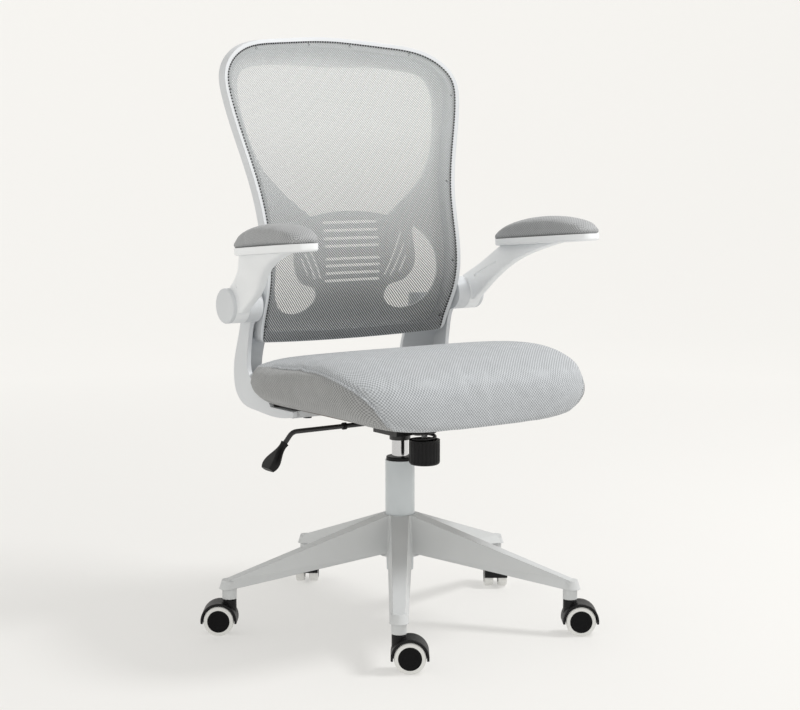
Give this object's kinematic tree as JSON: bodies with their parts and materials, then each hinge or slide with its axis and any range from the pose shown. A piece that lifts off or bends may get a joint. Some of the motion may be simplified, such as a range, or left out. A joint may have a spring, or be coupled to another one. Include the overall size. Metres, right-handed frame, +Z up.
{
  "type": "mesh office chair",
  "caption": "White and grey mesh task chair with flip-up arms, tilting seat, gas lift, bent release lever and a spoked base on twin-wheel casters.",
  "frame": {"origin": "on the floor under the axis of the gas lift", "axes": "+Z up, the sitter faces -Y, +X is the sitter's left"},
  "size_m": [0.6499, 0.6324, 0.998],
  "materials": {
    "white_plastic": "white moulded nylon, satin with a fine grain",
    "white_steel": "white powder coat, satin",
    "black_plastic": "black moulded plastic, fine grain",
    "black_steel": "black powder coat, satin",
    "chrome": "polished tube with faint turning marks",
    "zinc_steel": "zinc plated, slightly dull",
    "dark_steel": "black oxide screws and bolts",
    "wheel_plastic": "white tread ring on a glossy black disc",
    "plywood": "raw birch plywood with layered edges",
    "seat_fabric": "grey knitted upholstery with a fine mottled weave",
    "grey_mesh": "stretched pale grey mesh with small round openings"
  },
  "bodies": {
    "base": {"star_base": "white_plastic", "lift_column": "white_steel", "column_bush": "black_plastic", "thrust_bearing": "zinc_steel"},
    "lift_rod": {"piston_rod": "chrome", "column_clip": "zinc_steel"},
    "lift_cylinder": {"gas_cylinder": "chrome", "tilt_base": "black_steel", "tilt_pin": "zinc_steel"},
    "valve": {"valve_button": "black_plastic"},
    "lever_pivot": {"lever_bush": "black_plastic"},
    "lever": {"lever_rod": "black_steel", "lever_paddle": "black_plastic", "lever_collar": "black_plastic"},
    "seat": {"seat_plate": "black_steel", "seat_bolts": "dark_steel", "tension_stud": "zinc_steel", "tension_spring": "black_steel", "seat_board": "plywood", "seat_cushion": "seat_fabric", "bracket_bolts": "dark_steel", "back_frame": "white_plastic", "back_shell": "white_plastic", "back_mesh": "grey_mesh", "back_screws": "dark_steel", "side_bracket_left": "white_plastic", "side_bracket_right": "white_plastic", "arm_pivot_left": "white_plastic", "arm_pivot_right": "white_plastic"},
    "knob": {"tension_knob": "black_plastic"},
    "arm_left": {"arm_body_left": "white_plastic", "arm_cap_left": "white_plastic", "arm_tray_left": "white_plastic", "arm_pad_left": "seat_fabric"},
    "arm_right": {"arm_body_right": "white_plastic", "arm_cap_right": "white_plastic", "arm_tray_right": "white_plastic", "arm_pad_right": "seat_fabric"},
    "caster_1": {"caster_hood_1": "black_plastic", "caster_pins_1": "zinc_steel"},
    "wheel_1_left": {"wheel_1_left": "wheel_plastic"},
    "wheel_1_right": {"wheel_1_right": "wheel_plastic"},
    "caster_2": {"caster_hood_2": "black_plastic", "caster_pins_2": "zinc_steel"},
    "wheel_2_left": {"wheel_2_left": "wheel_plastic"},
    "wheel_2_right": {"wheel_2_right": "wheel_plastic"},
    "caster_3": {"caster_hood_3": "black_plastic", "caster_pins_3": "zinc_steel"},
    "wheel_3_left": {"wheel_3_left": "wheel_plastic"},
    "wheel_3_right": {"wheel_3_right": "wheel_plastic"},
    "caster_4": {"caster_hood_4": "black_plastic", "caster_pins_4": "zinc_steel"},
    "wheel_4_left": {"wheel_4_left": "wheel_plastic"},
    "wheel_4_right": {"wheel_4_right": "wheel_plastic"},
    "caster_5": {"caster_hood_5": "black_plastic", "caster_pins_5": "zinc_steel"},
    "wheel_5_left": {"wheel_5_left": "wheel_plastic"},
    "wheel_5_right": {"wheel_5_right": "wheel_plastic"}
  },
  "joints": [
    {"name": "seat_swivel", "type": "hinge", "parent": "base", "child": "lift_rod", "pos_m": [0, 0, 0.1], "axis": [0, 0, 1], "continuous": true},
    {"name": "seat_lift", "type": "slide", "parent": "lift_rod", "child": "lift_cylinder", "axis": [0, 0, 1], "range_m": [-0.015, 0.085]},
    {"name": "valve_press", "type": "slide", "parent": "lift_cylinder", "child": "valve", "axis": [0, 0, -1], "range_m": [0, 0.0045], "stiffness_N_per_m": 2000},
    {"name": "lever_lift", "type": "hinge", "parent": "lift_cylinder", "child": "lever_pivot", "pos_m": [-0.046, 0, 0.346], "axis": [0, 1, 0], "range_deg": [0, 5]},
    {"name": "lever_pull", "type": "slide", "parent": "lever_pivot", "child": "lever", "axis": [-1, 0, 0], "range_m": [0, 0.008]},
    {"name": "seat_tilt", "type": "hinge", "parent": "lift_cylinder", "child": "seat", "pos_m": [0, -0.024, 0.352], "axis": [-1, 0, 0], "range_deg": [0, 12], "stiffness_Nm_per_rad": 180, "springref_deg": -11.46, "deforming": ["tension_spring"]},
    {"name": "knob_turn", "type": "hinge", "parent": "seat", "child": "knob", "pos_m": [0, -0.07, 0.3], "axis": [0, 0, 1], "continuous": true},
    {"name": "arm_left_flip", "type": "hinge", "parent": "seat", "child": "arm_left", "pos_m": [0.244, 0.132, 0.544], "axis": [-1, 0, 0], "range_deg": [0, 90]},
    {"name": "arm_right_flip", "type": "hinge", "parent": "seat", "child": "arm_right", "pos_m": [-0.244, 0.132, 0.544], "axis": [-1, 0, 0], "range_deg": [0, 90]},
    {"name": "caster_1_swivel", "type": "hinge", "parent": "base", "child": "caster_1", "pos_m": [0, 0.298, 0.07], "axis": [0, 0, 1], "continuous": true},
    {"name": "wheel_1_left_spin", "type": "hinge", "parent": "caster_1", "child": "wheel_1_left", "pos_m": [0.00987, 0.31184, 0.025], "axis": [-0.8141, 0.5807, 0], "continuous": true},
    {"name": "wheel_1_right_spin", "type": "hinge", "parent": "caster_1", "child": "wheel_1_right", "pos_m": [0.00987, 0.31184, 0.025], "axis": [-0.8141, 0.5807, 0], "continuous": true},
    {"name": "caster_2_swivel", "type": "hinge", "parent": "base", "child": "caster_2", "pos_m": [-0.28341, 0.09209, 0.07], "axis": [0, 0, 1], "continuous": true},
    {"name": "wheel_2_left_spin", "type": "hinge", "parent": "caster_2", "child": "wheel_2_left", "pos_m": [-0.29725, 0.10196, 0.025], "axis": [-0.5807, -0.8141, 0], "continuous": true},
    {"name": "wheel_2_right_spin", "type": "hinge", "parent": "caster_2", "child": "wheel_2_right", "pos_m": [-0.29725, 0.10196, 0.025], "axis": [-0.5807, -0.8141, 0], "continuous": true},
    {"name": "caster_3_swivel", "type": "hinge", "parent": "base", "child": "caster_3", "pos_m": [-0.17516, -0.24109, 0.07], "axis": [0, 0, 1], "continuous": true},
    {"name": "wheel_3_left_spin", "type": "hinge", "parent": "caster_3", "child": "wheel_3_left", "pos_m": [-0.16132, -0.25096, 0.025], "axis": [0.5807, 0.8141, 0], "continuous": true},
    {"name": "wheel_3_right_spin", "type": "hinge", "parent": "caster_3", "child": "wheel_3_right", "pos_m": [-0.16132, -0.25096, 0.025], "axis": [0.5807, 0.8141, 0], "continuous": true},
    {"name": "caster_4_swivel", "type": "hinge", "parent": "base", "child": "caster_4", "pos_m": [0.17516, -0.24109, 0.07], "axis": [0, 0, 1], "continuous": true},
    {"name": "wheel_4_left_spin", "type": "hinge", "parent": "caster_4", "child": "wheel_4_left", "pos_m": [0.189, -0.25096, 0.025], "axis": [0.5807, 0.8141, 0], "continuous": true},
    {"name": "wheel_4_right_spin", "type": "hinge", "parent": "caster_4", "child": "wheel_4_right", "pos_m": [0.189, -0.25096, 0.025], "axis": [0.5807, 0.8141, 0], "continuous": true},
    {"name": "caster_5_swivel", "type": "hinge", "parent": "base", "child": "caster_5", "pos_m": [0.28341, 0.09209, 0.07], "axis": [0, 0, 1], "continuous": true},
    {"name": "wheel_5_left_spin", "type": "hinge", "parent": "caster_5", "child": "wheel_5_left", "pos_m": [0.27354, 0.07825, 0.025], "axis": [0.8141, -0.5807, 0], "continuous": true},
    {"name": "wheel_5_right_spin", "type": "hinge", "parent": "caster_5", "child": "wheel_5_right", "pos_m": [0.27354, 0.07825, 0.025], "axis": [0.8141, -0.5807, 0], "continuous": true}
  ],
  "couplings": [
    {"joint": "valve_press", "follows": "lever_lift", "m_per_rad": 0.049}
  ]
}
